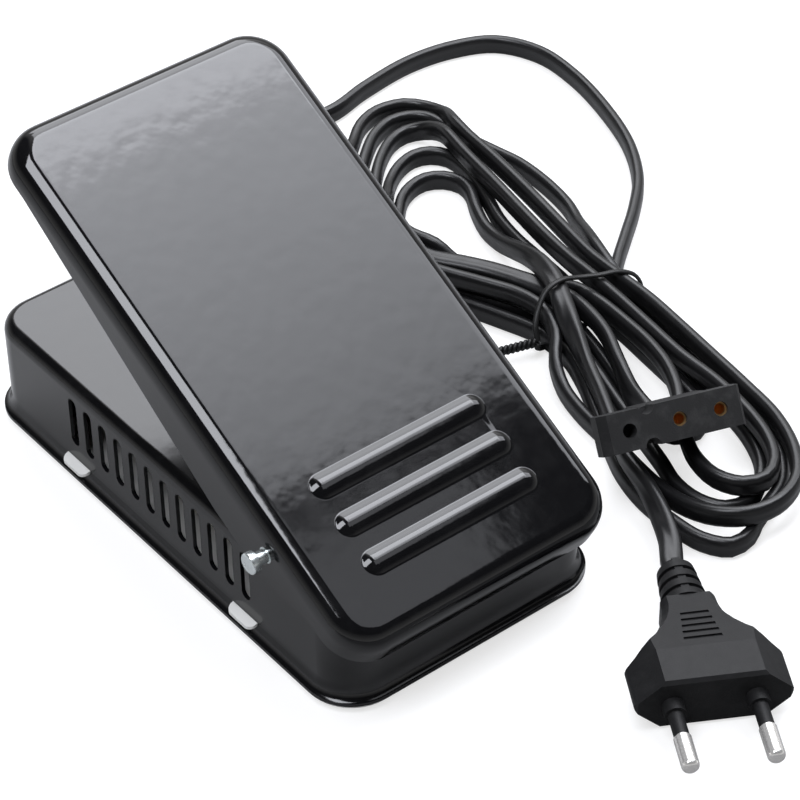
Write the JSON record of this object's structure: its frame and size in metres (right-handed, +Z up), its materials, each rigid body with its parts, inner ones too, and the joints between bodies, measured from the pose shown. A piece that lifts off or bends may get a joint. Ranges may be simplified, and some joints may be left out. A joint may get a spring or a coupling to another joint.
{
  "type": "sewing machine foot pedal",
  "caption": "Sloping pressed-steel treadle on a pivot pin over a vented casing with a carbon pile speed control, with flat leads to a mains plug and a motor connector.",
  "frame": {"origin": "on the floor under the middle of the pedal, leads left out", "axes": "+X to the right, -Y to the low front end of the treadle, +Y to the back where the leads leave, +Z up"},
  "size_m": [0.2058, 0.2633, 0.0882],
  "materials": {
    "black_paint": "glossy stove enamel with a faint orange peel",
    "zinc": "zinc plated, slightly dull",
    "bare_steel": "plain steel",
    "black_rubber": "matte",
    "nylon": "satin",
    "ceramic": "glazed",
    "carbon": "matte",
    "brass": "plain",
    "phenolic": "moulded",
    "wire_skin": "satin",
    "lead_skin": "satin vinyl",
    "tie_skin": "satin vinyl",
    "plug_vinyl": "satin vinyl",
    "nickel": "nickel plated"
  },
  "bodies": {
    "base": {"base_casing": "black_paint", "bottom_plate": "zinc", "rubber_feet": "black_rubber", "hinge_bracket": "bare_steel", "pivot_pin": "zinc", "pivot_spacers": "nylon", "pin_cap": "zinc", "return_spring": "bare_steel", "ceramic_block": "ceramic", "carbon_discs": "carbon", "end_contacts": "brass", "terminal_screws": "zinc", "pressure_caps": "brass", "block_screws": "zinc", "clamp_base": "phenolic", "clamp_strap": "zinc", "clamp_screw": "zinc", "mains_sleeve": "black_rubber", "motor_sleeve": "black_rubber", "inner_wires": "wire_skin", "mains_lead": "lead_skin", "motor_lead": "lead_skin", "lead_hank": "lead_skin", "hank_tie": "tie_skin", "plug_tail": "lead_skin", "plug_body": "plug_vinyl", "plug_prongs": "nickel", "prong_skins": "plug_vinyl", "connector_body": "plug_vinyl", "connector_sockets": "brass"},
    "treadle": {"treadle": "black_paint", "actuator_strip": "bare_steel"},
    "slider": {"contact_yoke": "phenolic", "contact_bridge": "brass", "bridge_rivet": "brass"}
  },
  "joints": [
    {"name": "treadle_hinge", "type": "hinge", "parent": "base", "child": "treadle", "pos_m": [0.002, -0.04251, 0.0325], "axis": [1, 0, 0], "range_deg": [-17, 0], "stiffness_Nm_per_rad": 2, "springref_deg": 14.32, "deforming": ["return_spring"]},
    {"name": "contact_slide", "type": "slide", "parent": "base", "child": "slider", "axis": [0, 1, 0], "range_m": [-0.0054, 0]}
  ],
  "couplings": [
    {"joint": "contact_slide", "follows": "treadle_hinge", "m_per_rad": 0.0179}
  ]
}
